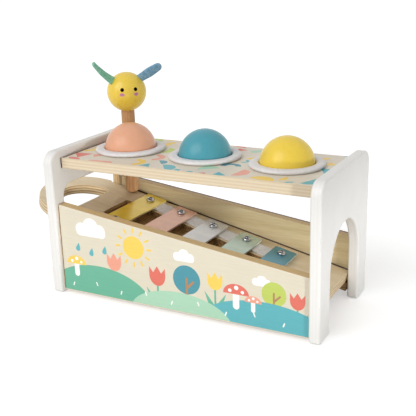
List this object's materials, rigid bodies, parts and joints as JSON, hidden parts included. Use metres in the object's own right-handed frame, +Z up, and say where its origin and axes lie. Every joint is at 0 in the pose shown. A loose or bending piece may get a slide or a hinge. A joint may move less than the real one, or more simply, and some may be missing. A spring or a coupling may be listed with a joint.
{
  "type": "pounding xylophone",
  "caption": "Wooden toy bench with balls in rubber rings over a sloping pull-out xylophone with metal keys, and a ball-headed mallet standing in the top board.",
  "frame": {"origin": "on the floor, in the middle of the whole outline, with the xylophone pushed in", "axes": "+X to the right along the bench, where the slope falls and the balls leave; +Y to the back; +Z up"},
  "size_m": [0.3154, 0.125, 0.2086],
  "materials": {
    "white_paint": "satin",
    "printed_board": "satin",
    "printed_panel": "satin",
    "plywood": "matte",
    "dowel_wood": "matte",
    "ring_rubber": "matte",
    "ball_pink": "satin",
    "ball_teal": "satin",
    "ball_yellow": "satin",
    "key_yellow": "satin",
    "key_pink": "satin",
    "key_white": "satin",
    "key_mint": "satin",
    "key_blue": "satin",
    "felt": "matte",
    "screw_steel": "satin",
    "handle_wood": "satin",
    "head_paint": "satin",
    "ear_green": "matte",
    "ear_blue": "matte"
  },
  "bodies": {
    "bench": {"left_side_panel": "white_paint", "right_side_panel": "white_paint", "top_board": "printed_board", "front_panel": "printed_panel", "back_panel": "plywood", "front_runner": "plywood", "back_runner": "plywood", "ball_ring_left": "ring_rubber", "ball_ring_middle": "ring_rubber", "ball_ring_right": "ring_rubber", "top_dowel_left_front": "dowel_wood", "top_dowel_left_back": "dowel_wood", "top_dowel_right_front": "dowel_wood", "top_dowel_right_back": "dowel_wood", "front_dowel_left_low": "dowel_wood", "front_dowel_left_high": "dowel_wood", "front_dowel_right_low": "dowel_wood", "front_dowel_right_high": "dowel_wood", "back_dowel_left_low": "dowel_wood", "back_dowel_left_high": "dowel_wood", "back_dowel_right_low": "dowel_wood", "back_dowel_right_high": "dowel_wood"},
    "xylophone": {"xylophone_board": "plywood", "front_felt": "felt", "back_felt": "felt", "key_yellow": "key_yellow", "key_pink": "key_pink", "key_white": "key_white", "key_mint": "key_mint", "key_blue": "key_blue", "key_screw_yellow_front": "screw_steel", "key_screw_yellow_back": "screw_steel", "key_screw_pink_front": "screw_steel", "key_screw_pink_back": "screw_steel", "key_screw_white_front": "screw_steel", "key_screw_white_back": "screw_steel", "key_screw_mint_front": "screw_steel", "key_screw_mint_back": "screw_steel", "key_screw_blue_front": "screw_steel", "key_screw_blue_back": "screw_steel"},
    "mallet": {"mallet_handle": "handle_wood", "mallet_head": "head_paint", "mallet_ear_left": "ear_green", "mallet_ear_right": "ear_blue"},
    "left_ball": {"ball_left": "ball_pink"},
    "middle_ball": {"ball_middle": "ball_teal"},
    "right_ball": {"ball_right": "ball_yellow"}
  },
  "joints": [
    {"name": "xylophone_slide", "type": "slide", "parent": "bench", "child": "xylophone", "axis": [-0.9759, 0, 0.218], "range_m": [0, 0.28]},
    {"name": "mallet_lift", "type": "slide", "parent": "bench", "child": "mallet", "axis": [0, 0, 1], "range_m": [0, 0.055]},
    {"name": "ball_left_press", "type": "slide", "parent": "bench", "child": "left_ball", "axis": [0, 0, -1], "range_m": [-0.045, 0.0335], "deforming": ["ball_ring_left"]},
    {"name": "ball_middle_press", "type": "slide", "parent": "bench", "child": "middle_ball", "axis": [0, 0, -1], "range_m": [-0.045, 0.0515], "deforming": ["ball_ring_middle"]},
    {"name": "ball_right_press", "type": "slide", "parent": "bench", "child": "right_ball", "axis": [0, 0, -1], "range_m": [-0.045, 0.0695], "deforming": ["ball_ring_right"]}
  ]
}
